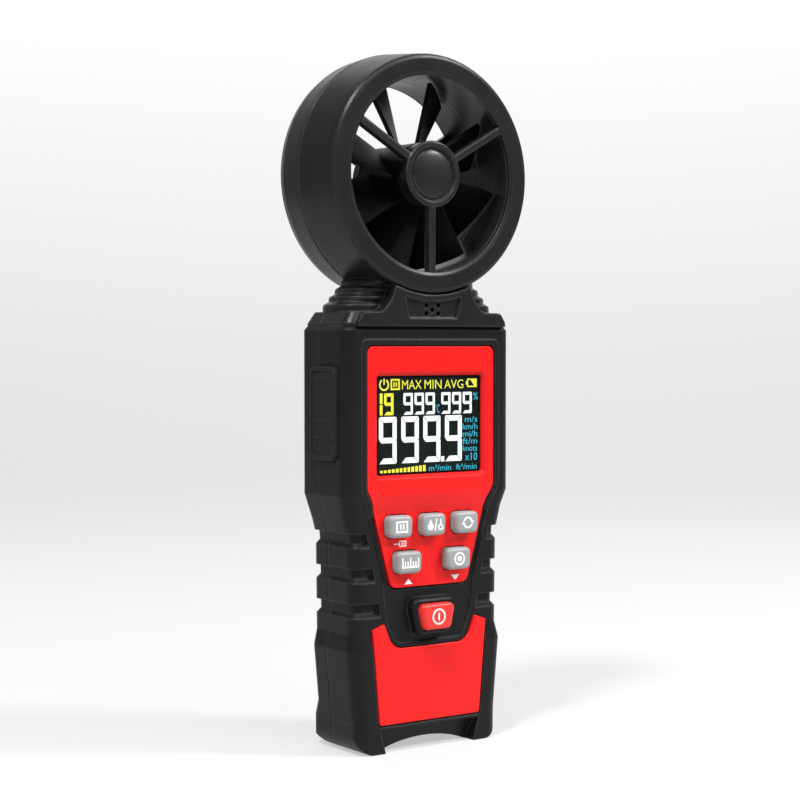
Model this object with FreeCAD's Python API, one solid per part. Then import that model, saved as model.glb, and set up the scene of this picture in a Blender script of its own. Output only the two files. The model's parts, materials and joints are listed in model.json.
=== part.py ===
import FreeCAD, Part
import math
import os
from FreeCAD import Vector

# Hand-held vane anemometer standing on its base.  Millimetres, +Z up.
# The origin is on the floor, in the middle of the footprint.  The keys face -Y.

# ---------------------------------------------------------------- handle, heights
foot_clearance = 3.0
base_height = 30.0
shoulder_height = 4.7
first_valley_z = 39.5
valley_height = 4.1
valley_pitch = 10.1
valley_count = 3
valley_depth = 1.3
waist_lip = 3.3
ramp_height = 7.4
ramp_front_height = 5.0
upper_height = 48.6

shoulder_z = base_height + shoulder_height
valley_top_z = first_valley_z + (valley_count - 1) * valley_pitch + valley_height
lip_z = valley_top_z + waist_lip
ramp_top_z = lip_z + ramp_height
ramp_foot_z = ramp_top_z - ramp_front_height
body_top_z = ramp_top_z + upper_height

# ---------------------------------------------------------------- handle, section
front_y = -12.5
parting_depth = 15.0
waist_drop = 1.2
back_drop = 1.2
foot_narrowing = 1.0
flare_widening = 1.0
lip_widening = 1.6
waist_spare = 3.05
front_corner_radius = 4.0
back_corner_radius = 3.0
heel_z = 9.0
heel_top_z = 13.6
heel_bulge = 0.9
heel_radius = 7.0
foot_corner_radius = 5.5

parting_y = front_y + parting_depth
waist_front_y = front_y + waist_drop
base_front_inset = 0.5

side_wall = 2.6
front_wall = 3.0
back_wall = 2.2
floor_wall = 9.6
top_wall = 2.4
seam_width = 0.4
seam_depth = 0.5
gap = 0.3
snug = 0.05

# ---------------------------------------------------------------- face panels
panel_thickness = 1.3
panel_proud = 0.1
panel_groove = 0.4
panel_top_margin = 5.7
panel_side_margin = 4.0
upper_panel_bottom_half_width = 13.6
upper_panel_bottom_z = 47.6
lower_panel_top_z = 36.1
lower_panel_half_width = 20.4
lower_panel_bottom_z = 8.2
lower_panel_foot_half_width = 18.0
horn_rise = 1.4
horn_half_width = 16.3
cradle_half_width = 13.2
cradle_z = 30.1
shield_depth = 0.4
shield_margin = 2.6
shield_rim = 1.5
panel_rim_width = 1.6
panel_rim_height = 0.3

# ---------------------------------------------------------------- display
window_half_width = 18.7
case_side_margin = 7.0
window_bottom_margin = 5.8
window_top_margin = 8.5
window_bevel = 1.1
lens_margin = 1.5
lens_thickness = 1.0
lens_boss_height = 0.9
lens_face = 0.8
active_inset = 0.5
glass_margin = 2.3
glass_thickness = 1.9
backlight_thickness = 3.0
board_thickness = 1.6
board_side_gap = 2.6
board_waist_half_width = 18.0
board_top_margin = 12.5
board_bottom_z = 32.0

upper_panel_half_width = window_half_width + panel_side_margin
upper_half_width = upper_panel_half_width + case_side_margin
board_half_width = upper_half_width - side_wall - board_side_gap
window_bottom_z = ramp_top_z + window_bottom_margin
window_top_z = body_top_z - panel_top_margin - window_top_margin
lens_front_y = front_y + panel_thickness
lens_face_y = lens_front_y - lens_boss_height
active_front_y = lens_face_y + lens_face + 0.1
glass_front_y = front_y + front_wall
backlight_front_y = glass_front_y + glass_thickness
board_front_y = backlight_front_y + backlight_thickness
board_back_y = board_front_y + board_thickness
cavity_front_y = waist_front_y + front_wall

# ---------------------------------------------------------------- keys
key_travel = 0.8
key_height = 6.4
key_proud = 3.1
key_corner = 1.6
key_soft_edge = 1.1
key_flange = 0.8
top_key_width = 8.5
top_key_pitch = 11.9
top_key_z = 65.5
lower_key_width = 8.9
lower_key_pitch = 17.7
lower_key_z = 55.0
power_key_z = 38.9
power_key_height = 7.6
power_key_top_width = 12.7
power_key_bottom_width = 9.4
power_key_proud = 4.9
island_proud = 3.4
island_margin = 1.6
island_soft_edge = 1.3
switch_body = 0.9

# ---------------------------------------------------------------- grip pads
pad_bottom_margin = 10.0
pad_height = 27.3
pad_front_depth = 4.5
pad_width = 13.6
pad_proud = 1.3
pad_seat = 0.7
pad_dot_columns = 4
pad_dot_rows = 9
pad_dot_pitch = 2.45
pad_dot_radius = 0.8
pad_dot_height = 0.4
pad_rim = 1.4
pad_recess = 0.35

# ---------------------------------------------------------------- batteries
cell_radius = 5.25
cell_length = 44.5
cell_nub_radius = 1.9
cell_nub_height = 0.8
cell_count = 3
cell_spacing = 0.5
cell_door_gap = 0.2
contact_thickness = 0.4
spring_height = 3.9
spring_wire = 0.3
spring_radius = 2.6
tray_wall = 1.0
tray_board_gap = 0.6
tray_bottom_z = 10.2
door_thickness = 1.5
door_bottom_z = 14.2
door_half_width = 17.2
door_open_degrees = 60.0

cell_pitch = 2 * cell_radius + cell_spacing
cell_y = board_back_y + tray_board_gap + tray_wall + cell_radius
waist_back_y = cell_y + cell_radius + cell_door_gap + door_thickness
back_y = waist_back_y + back_drop
body_depth = back_y - front_y
contact_z = tray_bottom_z + tray_wall
cell_z = contact_z + contact_thickness + spring_height
cell_top_z = cell_z + cell_length
tray_top_z = cell_top_z + contact_thickness + tray_wall
tray_half_width = (cell_count - 1) / 2 * cell_pitch + cell_radius + tray_wall
door_top_z = tray_top_z + 1.0

case_screw_shank = 1.1
case_screw_head = 2.2
case_screw_head_height = 1.5
case_screw_length = 11.0
case_boss_radius = 3.1
low_screw_x = tray_half_width + case_boss_radius + gap
waist_half_width = low_screw_x + case_boss_radius - 0.6 + waist_spare
foot_half_width = waist_half_width - foot_narrowing
flare_half_width = waist_half_width + flare_widening
lip_half_width = waist_half_width + lip_widening

# ---------------------------------------------------------------- measuring head
duct_radius = 28.5
sleeve_thickness = 1.5
drum_face_width = 4.9
drum_front_build = 6.3
drum_build = 8.0
drum_back_build = 6.8
drum_depth = 28.2
drum_front_y = -13.5
drum_wall = 2.0
drum_flange = 1.8
neck_height = 7.7
drum_face_radius = duct_radius + drum_face_width
drum_front_radius = duct_radius + drum_front_build
drum_radius = duct_radius + drum_build
drum_back_radius = duct_radius + drum_back_build
drum_back_y = drum_front_y + drum_depth
drum_z = body_top_z + neck_height + drum_radius
widest_y = 3.4

hub_radius = 9.65
cap_radius = 7.2
cap_recess_radius = 8.0
cap_recess = 0.9
hub_depth = 3.6
spoke_width = 2.3
spoke_depth = 2.7
spoke_set_back = 0.4
spoke_angles = (30.0, 150.0, 270.0)

shaft_radius = 0.95
shaft_clearance = 0.05
bearing_ring = 1.5
bearing_width = 2.3
bearing_bore = shaft_radius + shaft_clearance
bearing_radius = bearing_bore + bearing_ring

impeller_hub_radius = 9.6
impeller_gap = 0.5
blade_count = 8
blade_front_depth = 6.0
blade_length = 11.6
blade_thickness = 1.2
blade_tip_gap = 0.8
blade_pitch_degrees = 44.0
blade_first_angle = 113.0
blade_section_count = 6

neck_flange_height = 4.2
neck_flange_inset = 0.6
neck_plate_y = drum_front_y - 0.1
neck_rib_count = 4
neck_rib_pitch = 2.3
neck_rib_inset = 2.2
neck_rib_step = 2.05
neck_rib_groove = 1.3
neck_rib_radius = 8.0
neck_flange_half_width = upper_half_width - neck_flange_inset
neck_rib_half_width = upper_half_width - neck_rib_inset
sensor_hole_radius = 0.75
sensor_recess = 0.8
ribbon_front_y = front_y + 3.5
ribbon_half_width = 3.0

# ---------------------------------------------------------------- fasteners
low_screw_z = 26.0
high_screw_x = upper_half_width - 6.3
high_screw_z = body_top_z - 7.0
case_screw_rows = ((low_screw_x, low_screw_z), (high_screw_x, high_screw_z))
case_screw_places = [(side * x, z) for x, z in case_screw_rows for side in (-1, 1)]
neck_screw_shank = 1.0
neck_screw_head = 1.9
neck_screw_length = 6.5
neck_screw_x = 15.0
neck_screw_ys = (-4.5, 7.0)
drum_screw_shank = 0.8
drum_screw_head = 1.4
drum_screw_angles = (42.0, 138.0, 200.0, 340.0)
drum_screw_circle = duct_radius + 3.9
tripod_z = ramp_top_z + 17.5
tripod_radius = 4.2
tripod_thread_radius = 2.55
tripod_thread_depth = 6.5


# ================================================================ helpers
def at_height(z):
    return lambda u, v: Vector(u, v, z)


def facing_front(y):
    return lambda u, v: Vector(u, y, v)


def facing_side(x):
    return lambda u, v: Vector(x, u, v)


def rounded_wire(points, radii, place):
    """Closed outline of straight runs whose corners are arcs of the given radii."""
    edges = []
    ends = []
    count = len(points)
    for index in range(count):
        corner = Vector(*points[index], 0)
        before = Vector(*points[index - 1], 0) - corner
        after = Vector(*points[(index + 1) % count], 0) - corner
        before.normalize()
        after.normalize()
        radius = radii[index] if isinstance(radii, (list, tuple)) else radii
        if radius <= 0:
            ends.append((corner, None, corner))
            continue
        half = before.getAngle(after) / 2
        bisector = before + after
        bisector.normalize()
        centre = corner + bisector * (radius / math.sin(half))
        run = radius / math.tan(half)
        ends.append((corner + before * run, centre - bisector * radius, corner + after * run))
    for index in range(count):
        start, middle, end = ends[index]
        if middle is not None:
            edges.append(Part.Arc(*(place(p.x, p.y) for p in (start, middle, end))).toShape())
        following = ends[(index + 1) % count][0]
        if (following - end).Length > 1e-6:
            edges.append(Part.LineSegment(place(end.x, end.y), place(following.x, following.y)).toShape())
    return Part.Wire(edges)


def grown(points, amount):
    """The outline moved outwards by one amount all round; the points run anticlockwise or clockwise."""
    count = len(points)
    area = sum(points[i - 1][0] * points[i][1] - points[i][0] * points[i - 1][1] for i in range(count))
    sign = 1.0 if area > 0 else -1.0
    moved = []
    for index in range(count):
        corner = Vector(*points[index], 0)
        into = corner - Vector(*points[index - 1], 0)
        out = Vector(*points[(index + 1) % count], 0) - corner
        into.normalize()
        out.normalize()
        side = Vector(into.y + out.y, -into.x - out.x, 0) * sign
        side.normalize()
        square = Vector(into.y, -into.x, 0) * sign
        shifted = corner + side * (amount / side.dot(square))
        moved.append((shifted.x, shifted.y))
    return moved


def front_plate(points, radii, y0, y1):
    face = Part.Face(rounded_wire(points, radii, facing_front(y0)))
    return face.extrude(Vector(0, y1 - y0, 0))


def side_plate(points, radii, x0, x1):
    face = Part.Face(rounded_wire(points, radii, facing_side(x0)))
    return face.extrude(Vector(x1 - x0, 0, 0))


def rectangle(half_width, low, high, middle=0.0):
    left = middle - half_width
    right = middle + half_width
    return [(left, low), (right, low), (right, high), (left, high)]


def mirrored_outline(right_half):
    """Outline from its right half, listed from the bottom up."""
    return right_half + [(-x, z) for x, z in reversed(right_half)]


def box(x0, x1, y0, y1, z0, z1):
    return Part.makeBox(x1 - x0, y1 - y0, z1 - z0, Vector(x0, y0, z0))


def rod_y(radius, x, z, y0, y1):
    return Part.makeCylinder(radius, y1 - y0, Vector(x, y0, z), Vector(0, 1, 0))


def rod_z(radius, x, y, z0, z1):
    return Part.makeCylinder(radius, z1 - z0, Vector(x, y, z0), Vector(0, 0, 1))


def ring_y(outer, inner, x, z, y0, y1):
    return rod_y(outer, x, z, y0, y1).cut(rod_y(inner, x, z, y0 - 1, y1 + 1))


def turned(profile):
    """Solid of revolution about the duct axis from (y, radius) points."""
    points = [Vector(0, y, drum_z + radius) for y, radius in profile]
    face = Part.Face(Part.makePolygon(points + points[:1]))
    return face.revolve(Vector(0, 0, drum_z), Vector(0, 1, 0), 360)


def on_circle(radius, degrees):
    angle = math.radians(degrees)
    return radius * math.cos(angle), drum_z + radius * math.sin(angle)


def mirror_x(shape):
    return shape.mirror(Vector(0, 0, 0), Vector(1, 0, 0))


def union(shapes):
    shapes = list(shapes)
    return shapes[0].fuse(shapes[1:]).removeSplitter() if len(shapes) > 1 else shapes[0]


def group(shapes):
    return Part.makeCompound(list(shapes))


def softened(shape, radius, chosen):
    """Fillet the edges whose every vertex satisfies the test."""
    edges = [edge for edge in shape.Edges if all(chosen(v.Point) for v in edge.Vertexes)]
    return shape.makeFillet(radius, edges)


def at_y(y):
    return lambda point: abs(point.y - y) < 1e-4


# ================================================================ handle shells
def body_levels():
    """Height, half width, front inset and back inset of the handle's outside, bottom to top."""
    ramp_half_width = upper_half_width - (upper_half_width - lip_half_width) * ramp_front_height / ramp_height
    return [
        (0.0, foot_half_width, base_front_inset, -heel_bulge),
        (heel_z, foot_half_width + 0.1, base_front_inset, -heel_bulge),
        (heel_top_z, foot_half_width + 0.5, base_front_inset, back_drop),
        (base_height, flare_half_width, base_front_inset, back_drop),
        (shoulder_z, waist_half_width, waist_drop, back_drop),
        (valley_top_z - valley_height, waist_half_width + 0.3, waist_drop, back_drop),
        (valley_top_z, waist_half_width + 0.7, waist_drop, back_drop),
        (lip_z, lip_half_width, waist_drop, back_drop),
        (ramp_foot_z, ramp_half_width, waist_drop, back_drop * ramp_front_height / ramp_height),
        (ramp_top_z, upper_half_width, 0.0, 0.0),
        (body_top_z - 1.0, upper_half_width, 0.0, 0.0),
        (body_top_z, upper_half_width - 0.6, 0.6, 0.6),
    ]


def level_at(z):
    levels = body_levels()
    if z <= levels[0][0]:
        return levels[0][1:]
    for low, high in zip(levels, levels[1:]):
        if z <= high[0]:
            share = (z - low[0]) / (high[0] - low[0])
            return tuple(a + (b - a) * share for a, b in zip(low[1:], high[1:]))
    return levels[-1][1:]


def body_section(z, side_inset, front_inset, back_inset, source_z=None):
    half_width, front_drop, rear_drop = level_at(z if source_z is None else source_z)
    half_width = half_width - side_inset
    y0 = front_y + front_drop + front_inset
    y1 = back_y - rear_drop - back_inset
    points = [(-half_width, y0), (half_width, y0), (half_width, y1), (-half_width, y1)]
    front_radius = max(front_corner_radius - min(side_inset, front_inset), 0.8)
    back_radius = max(back_corner_radius - min(side_inset, back_inset), 0.8)
    radii = [front_radius, front_radius, back_radius, back_radius]
    return rounded_wire(points, radii, at_height(z))


def handle_block():
    levels = [level[0] for level in body_levels()]
    block = Part.makeLoft([body_section(z, 0, 0, 0) for z in levels], True, True)
    block = block.common(foot_profile()).common(heel_profile())
    for index in range(valley_count):
        block = block.cut(valley(first_valley_z + index * valley_pitch))
    return block.cut(foot_arch())


def foot_profile():
    half_width = flare_half_width + lip_half_width
    corner = foot_half_width
    low = [(-corner, 0.0), (corner, 0.0), (corner, foot_corner_radius * 1.6)]
    wide = [(half_width, foot_corner_radius * 1.6 + 0.5), (half_width, body_top_z + 5)]
    points = low + wide + [(-x, z) for x, z in reversed(wide)] + [(-corner, foot_corner_radius * 1.6)]
    radii = [foot_corner_radius, foot_corner_radius, 0, 0, 0, 0, 0, 0]
    return front_plate(points, radii, front_y - 5, back_y + 5)


def heel_profile():
    rear = back_y + heel_bulge
    points = [(front_y, 0.0), (rear, 0.0), (rear, heel_radius + 1.2), (rear + 5, heel_radius + 1.3),
              (rear + 5, body_top_z + 5), (front_y - 5, body_top_z + 5), (front_y - 5, 1.0)]
    return side_plate(points, [1.2, heel_radius, 0, 0, 0, 0, 0], -upper_half_width - 10, upper_half_width + 10)


def foot_arch():
    """Hollow between the two feet, deepest at the middle."""
    across = Part.Arc(Vector(-15.5, front_y - 2, 0), Vector(0, front_y - 2, foot_clearance), Vector(15.5, front_y - 2, 0))
    base = Part.LineSegment(Vector(15.5, front_y - 2, 0), Vector(-15.5, front_y - 2, 0))
    arch = Part.Face(Part.Wire([across.toShape(), base.toShape()])).extrude(Vector(0, body_depth + 6, 0))
    ledge_points = [(front_y - 3, 7.0), (front_y + 2.2, 7.0), (front_y + 4.6, 1.5), (front_y + 4.6, -1), (front_y - 3, -1)]
    ledge = side_plate(ledge_points, 0, -20, 20)
    between = front_plate([(-15.6, -1), (15.6, -1), (17.8, 7.2), (-17.8, 7.2)], 0, front_y - 3, front_y + 5)
    return arch.fuse(ledge.common(between))


def valley(z):
    """Ring-shaped groove round the waist with a sharp top and a sloping lower side."""
    top = z + valley_height
    slab = box(-upper_half_width - 5, upper_half_width + 5, front_y - 5, back_y + 5, z, top)
    inner_levels = ((z, 0.0), (z + valley_depth, valley_depth), (top, valley_depth))
    inner = Part.makeLoft([body_section(h, inset, inset, inset) for h, inset in inner_levels], True, True)
    kept = front_plate(rib_end_outline(), 0, front_y - 6, parting_y)
    kept_back = box(-door_half_width - 2.4, door_half_width + 2.4, parting_y, back_y + 6, z - 1, top + 1)
    return slab.cut(inner).cut(kept).cut(kept_back)


def rib_end_outline():
    """Smooth strip each side of the key field, where the ribs stop."""
    low_z = base_height
    high_z = ramp_top_z
    slope = (upper_panel_half_width - upper_panel_bottom_half_width) / (ramp_top_z - upper_panel_bottom_z)
    at_bottom = upper_panel_bottom_half_width + 5.2

    def edge(z):
        return at_bottom + 0.6 * slope * (z - upper_panel_bottom_z)

    return mirrored_outline([(edge(low_z), low_z), (edge(high_z), high_z)])


def cavity():
    """Hollow inside the handle, from the floor of the base to the top wall."""
    top = body_top_z - top_wall
    low = [floor_wall, heel_top_z, base_height, shoulder_z, lip_z, ramp_foot_z, ramp_top_z]
    wires = []
    for z in low:
        source = max(z, heel_top_z)
        wires.append(body_section(z, side_wall, front_wall, back_wall, source))
    wires.append(body_section(top, side_wall, front_wall, back_wall, ramp_top_z))
    return Part.makeLoft(wires, True, True)


def seam_groove():
    """Narrow groove that shows the parting line round the handle."""
    levels = [level[0] for level in body_levels()]
    inner = Part.makeLoft([body_section(z, seam_depth, seam_depth, seam_depth) for z in levels], True, True)
    wide = upper_half_width + 5
    slab = box(-wide, wide, parting_y - seam_width / 2, parting_y + seam_width / 2, -1, body_top_z + 1)
    kept = box(-wide, wide, parting_y - 1, parting_y + 1, body_top_z - 1, body_top_z + 1)
    return slab.cut(inner).cut(kept)


def face_skin(low_offset, high_offset):
    """Slab that follows the stepped front face, between two depths behind it."""
    top = body_top_z + 5
    front = [(front_y, top), (front_y, ramp_top_z), (waist_front_y, ramp_foot_z), (waist_front_y, 20)]
    near = [(y + low_offset, z) for y, z in front]
    far = [(y + high_offset, z) for y, z in front]
    return side_plate(near + far[::-1], 0, -upper_half_width, upper_half_width)


def upper_panel_outline():
    slope_z = ramp_foot_z + 2.6
    right = [
        (upper_panel_bottom_half_width, upper_panel_bottom_z),
        (upper_panel_half_width - 2.3, slope_z),
        (upper_panel_half_width, ramp_top_z + 2.0),
        (upper_panel_half_width, body_top_z - panel_top_margin),
    ]
    return mirrored_outline(right)


upper_panel_radii = [2.6, 5.0, 3.0, 2.0, 2.0, 3.0, 5.0, 2.6]


def lower_panel_outline():
    right = [
        (lower_panel_foot_half_width, lower_panel_bottom_z),
        (lower_panel_half_width, lower_panel_top_z),
        (horn_half_width, lower_panel_top_z + horn_rise),
        (cradle_half_width, cradle_z),
    ]
    return mirrored_outline(right)


lower_panel_radii = [1.0, 0.5, 0.5, 5.0, 5.0, 0.5, 0.5, 1.0]


def shield_outline():
    """Field round the keys, open into the cradle of the lower panel."""
    right = [
        (cradle_half_width - shield_rim, cradle_z + shield_rim),
        (horn_half_width - shield_rim, lower_panel_top_z + horn_rise),
        (upper_panel_bottom_half_width + shield_margin - 0.2, upper_panel_bottom_z - 1.5),
        (upper_panel_bottom_half_width + shield_margin, upper_panel_bottom_z + 2.0),
        (upper_panel_half_width - 2.3 + shield_margin * 0.4, ramp_foot_z - 0.6),
    ]
    return mirrored_outline(right)


shield_radii = [3.4, 1.2, 1.2, 1.2, 1.2, 1.2, 1.2, 1.2, 1.2, 3.4]


def window_outline(margin=0.0):
    return rectangle(window_half_width + margin, window_bottom_z - margin, window_top_z + margin)


def island_outline():
    return grown(power_key_outline(), island_margin)


def island():
    """Raised surround that guards the power key."""
    front = waist_front_y + shield_depth - island_proud
    block = front_plate(island_outline(), 2.6, front, cavity_front_y - 0.5)
    return softened(block, island_soft_edge, at_y(front))


def pad_outline(margin=0.0):
    low = front_y + pad_front_depth - margin
    high = front_y + pad_front_depth + pad_width + margin
    z0 = ramp_top_z + pad_bottom_margin - margin
    z1 = z0 + pad_height + 2 * margin
    return [(low, z0), (high, z0), (high, z1), (low, z1)]


def pad_seats():
    seat = side_plate(pad_outline(snug), 2.6 + snug, upper_half_width - pad_seat, upper_half_width + 5)
    return seat.fuse(mirror_x(seat))


def front_shell():
    shell = handle_block().cut(seam_groove())
    shell = shell.common(box(-60, 60, front_y - 20, parting_y, -5, body_top_z + 5))
    rim_outline = grown(upper_panel_outline(), panel_groove + panel_rim_width)
    rim = front_plate(rim_outline, upper_panel_radii, front_y - 5, board_front_y)
    shell = shell.fuse(rim.common(face_skin(-panel_rim_height, panel_thickness / 2)))
    pocket = front_plate(grown(upper_panel_outline(), panel_groove), upper_panel_radii, front_y - 5, board_front_y)
    shell = shell.cut(pocket.common(face_skin(-5, panel_thickness)))
    lower_pocket = grown(lower_panel_outline(), panel_groove)
    shell = shell.cut(front_plate(lower_pocket, lower_panel_radii, front_y - 5, waist_front_y + 0.1))
    field = front_plate(shield_outline(), shield_radii, front_y - 5, waist_front_y + shield_depth)
    shell = shell.cut(field).fuse(island())
    shell = shell.cut(cavity())
    lens_seat = front_plate(window_outline(lens_margin + snug), 1.0 + snug, front_y, lens_front_y + lens_thickness)
    opening = front_plate(window_outline(0.3), 1.0, front_y, board_front_y)
    shell = shell.cut(lens_seat).cut(opening)
    for outline, radii, _front in key_table().values():
        shell = shell.cut(front_plate(grown(outline, gap), radii + gap, front_y - 5, board_front_y))
    shell = shell.cut(pad_seats()).cut(usb_opening()).cut(neck_screw_cutters()).cut(ribbon_slot())
    for x, z in case_screw_places:
        depth = level_at(z)[1] + front_wall - 0.5
        shell = shell.fuse(rod_y(case_boss_radius, x, z, front_y + depth, parting_y).common(handle_core()))
        shell = shell.cut(rod_y(case_screw_shank, x, z, case_screw_seat_y() - case_screw_length, parting_y + 1))
    for x, z in board_post_places:
        shell = shell.fuse(rod_y(board_post_radius, x, z, cavity_front_at(z) - 0.5, board_front_y))
        shell = shell.cut(rod_y(board_screw_shank, x, z, board_back_y - board_screw_length, board_back_y))
    return shell


def handle_core():
    """The handle's outside drawn in by half a wall, which trims posts that run into it."""
    levels = [level[0] for level in body_levels()]
    inset = side_wall / 2
    return Part.makeLoft([body_section(z, inset, inset, inset) for z in levels], True, True)


def case_screw_seat_y():
    return parting_y + 3.0


def cavity_front_at(z):
    return front_y + level_at(z)[1] + front_wall


board_screw_shank = 0.8
board_screw_head = 1.5
board_screw_length = 5.0
board_post_radius = 1.8
board_post_x = window_half_width + glass_margin + board_post_radius + 0.15
board_post_zs = (window_bottom_z + 7.8, body_top_z - 16.0)
board_post_places = [(side * board_post_x, z) for z in board_post_zs for side in (-1, 1)]


def back_shell():
    shell = handle_block().cut(seam_groove())
    shell = shell.common(box(-60, 60, parting_y, back_y + 20, -5, body_top_z + 5))
    shell = shell.cut(cavity())
    for x, z in case_screw_places:
        boss = rod_y(case_boss_radius, x, z, parting_y, back_y).common(handle_core())
        shell = shell.fuse(boss)
        shell = shell.cut(rod_y(case_screw_shank + 0.1, x, z, parting_y - 1, back_y + 2))
        shell = shell.cut(rod_y(case_screw_head + 0.3, x, z, case_screw_seat_y(), back_y + 2))
    shell = shell.fuse(rod_y(tripod_radius + 2.2, 0, tripod_z, tripod_front_y() - 1.5, back_y - 1))
    shell = shell.cut(rod_y(tripod_radius, 0, tripod_z, tripod_front_y(), back_y + 2))
    opening = front_plate(rectangle(door_half_width + gap, door_bottom_z - gap, door_top_z + gap), 2.3, cell_y, back_y + 2)
    shell = shell.cut(opening).cut(pad_seats()).cut(neck_screw_cutters())
    for side in (-1, 1):
        slot = box(7.6, 13.4, cell_y, waist_back_y - 0.7, door_bottom_z - 2.7, door_bottom_z)
        shell = shell.cut(slot if side > 0 else mirror_x(slot))
    notch = rod_y(4.5, 0, door_top_z + 1.2, waist_back_y - 0.8, back_y + 2)
    return shell.cut(notch)


def tripod_front_y():
    return back_y - tripod_thread_depth - 1.0


def tripod_insert():
    body = rod_y(tripod_radius, 0, tripod_z, tripod_front_y(), back_y - 0.1)
    return body.cut(rod_y(tripod_thread_radius, 0, tripod_z, back_y - 0.1 - tripod_thread_depth, back_y + 1))


def grip_pad():
    outer = upper_half_width + pad_proud
    pad = side_plate(pad_outline(), 2.6, upper_half_width - pad_seat, outer)
    pad = softened(pad, 1.0, lambda point: abs(point.x - outer) < 1e-4)
    field = outer - pad_recess
    pad = pad.cut(side_plate(pad_outline(-pad_rim), 1.4, field, outer + 1))
    middle_y = front_y + pad_front_depth + pad_width / 2
    middle_z = ramp_top_z + pad_bottom_margin + pad_height / 2
    sphere_radius = (pad_dot_radius ** 2 + pad_dot_height ** 2) / (2 * pad_dot_height)
    dots = []
    for column in range(pad_dot_columns):
        for row in range(pad_dot_rows):
            y = middle_y + (column - (pad_dot_columns - 1) / 2) * pad_dot_pitch
            z = middle_z + (row - (pad_dot_rows - 1) / 2) * pad_dot_pitch
            ball = Part.makeSphere(sphere_radius, Vector(field + pad_dot_height - sphere_radius, y, z))
            dots.append(ball.common(box(field - 0.3, field + 1, y - 1.2, y + 1.2, z - 1.2, z + 1.2)))
    return pad.fuse(dots)


# ================================================================ face
def upper_panel():
    panel = front_plate(upper_panel_outline(), upper_panel_radii, front_y - 5, board_front_y)
    panel = panel.common(face_skin(-panel_proud, panel_thickness))
    face = front_y - panel_proud
    back = lens_front_y
    flare = Part.makeLoft([
        rounded_wire(window_outline(window_bevel), 1.6, facing_front(face)),
        rounded_wire(window_outline(), 0.8, facing_front(face + window_bevel)),
    ], True, True)
    panel = panel.cut(flare).cut(front_plate(window_outline(), 0.8, face, back + 1))
    for name, (outline, radii, _front) in key_table().items():
        if name != "key_power":
            panel = panel.cut(front_plate(grown(outline, gap), radii + gap, front_y - 5, board_front_y))
    return panel


def lower_panel():
    face = front_y + base_front_inset - panel_proud
    panel = front_plate(lower_panel_outline(), lower_panel_radii, face, waist_front_y + 0.1)
    return softened(panel, 0.35, at_y(face))


def display_window():
    """Clear window whose raised face fills the panel's opening and whose back takes the display."""
    flange = front_plate(window_outline(lens_margin), 1.0, lens_front_y, lens_front_y + lens_thickness)
    face = front_plate(window_outline(-0.1), 0.7, lens_face_y, lens_front_y + lens_thickness)
    pocket = front_plate(window_outline(-active_inset), 0.4, lens_face_y + lens_face, lens_front_y + 5)
    return flange.fuse(face).removeSplitter().cut(pocket)


def display_glass():
    plate = front_plate(window_outline(glass_margin), 0.5, glass_front_y, backlight_front_y)
    active = front_plate(window_outline(-active_inset - 0.1), 0.3, active_front_y, glass_front_y + 0.1)
    return plate.fuse(active).removeSplitter()


def display_backlight():
    plate = front_plate(window_outline(glass_margin), 0.5, backlight_front_y, board_front_y)
    return plate.cut(front_plate(window_outline(), 0.5, backlight_front_y + 1.0, board_front_y + 1))


def power_key_outline():
    top = power_key_z + power_key_height / 2
    bottom = power_key_z - power_key_height / 2
    return mirrored_outline([(power_key_bottom_width / 2, bottom), (power_key_top_width / 2, top)])


def key_table():
    """Outline, corner radius and front face of every key."""
    row_face = waist_front_y - key_proud
    power_face = waist_front_y - power_key_proud
    table = {}
    for name, step in (("key_hold", -1), ("key_dew_point", 0), ("key_function", 1)):
        table[name] = (key_outline(step * top_key_pitch, top_key_z, top_key_width), key_corner, row_face)
    for name, side in (("key_unit", -0.5), ("key_record", 0.5)):
        table[name] = (key_outline(side * lower_key_pitch, lower_key_z, lower_key_width), key_corner, row_face)
    table["key_power"] = (power_key_outline(), 1.8, power_face)
    return table


def key_outline(x, z, width):
    """Key face that narrows a little towards its lower edge."""
    top = z + key_height / 2
    bottom = z - key_height / 2
    narrow = width / 2 - 0.35
    return [(x - narrow, bottom), (x + narrow, bottom), (x + width / 2, top), (x - width / 2, top)]


def key_centre(outline):
    xs = [x for x, _ in outline]
    zs = [z for _, z in outline]
    return (min(xs) + max(xs)) / 2, (min(zs) + max(zs)) / 2


def key(name):
    outline, radius, face = key_table()[name]
    seat = cavity_front_y + 0.1
    cap = front_plate(outline, radius, face, seat + key_flange / 2)
    cap = softened(cap, key_soft_edge, at_y(face))
    flange = front_plate(grown(outline, 0.9), radius + 0.9, seat, seat + key_flange)
    return cap.fuse(flange).removeSplitter()


def key_switches():
    """Low dome switches soldered to the board, one behind each key."""
    contact_y = cavity_front_y + 0.1 + key_flange + key_travel + snug
    switches = []
    for outline, _radius, _face in key_table().values():
        x, z = key_centre(outline)
        base = box(x - 2.2, x + 2.2, board_front_y - switch_body, board_front_y, z - 2.2, z + 2.2)
        switches.append(base.fuse(rod_y(1.2, x, z, contact_y, board_front_y)))
    return group(switches)


# ================================================================ electronics
def board_outline():
    right = [
        (board_waist_half_width, board_bottom_z),
        (board_waist_half_width, lip_z),
        (board_half_width, ramp_top_z - 1.0),
        (board_half_width, body_top_z - board_top_margin),
    ]
    return mirrored_outline(right)


def main_board():
    board = front_plate(board_outline(), 0.8, board_front_y, board_back_y)
    for x, z in board_post_places:
        board = board.cut(rod_y(board_screw_shank + 0.1, x, z, board_front_y - 1, board_back_y + 1))
    return board


def board_screws():
    screws = []
    for x, z in board_post_places:
        screws.append(screw_y(x, z, board_back_y, board_screw_length, board_screw_shank, board_screw_head, 1.0))
    return group(screws)


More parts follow.
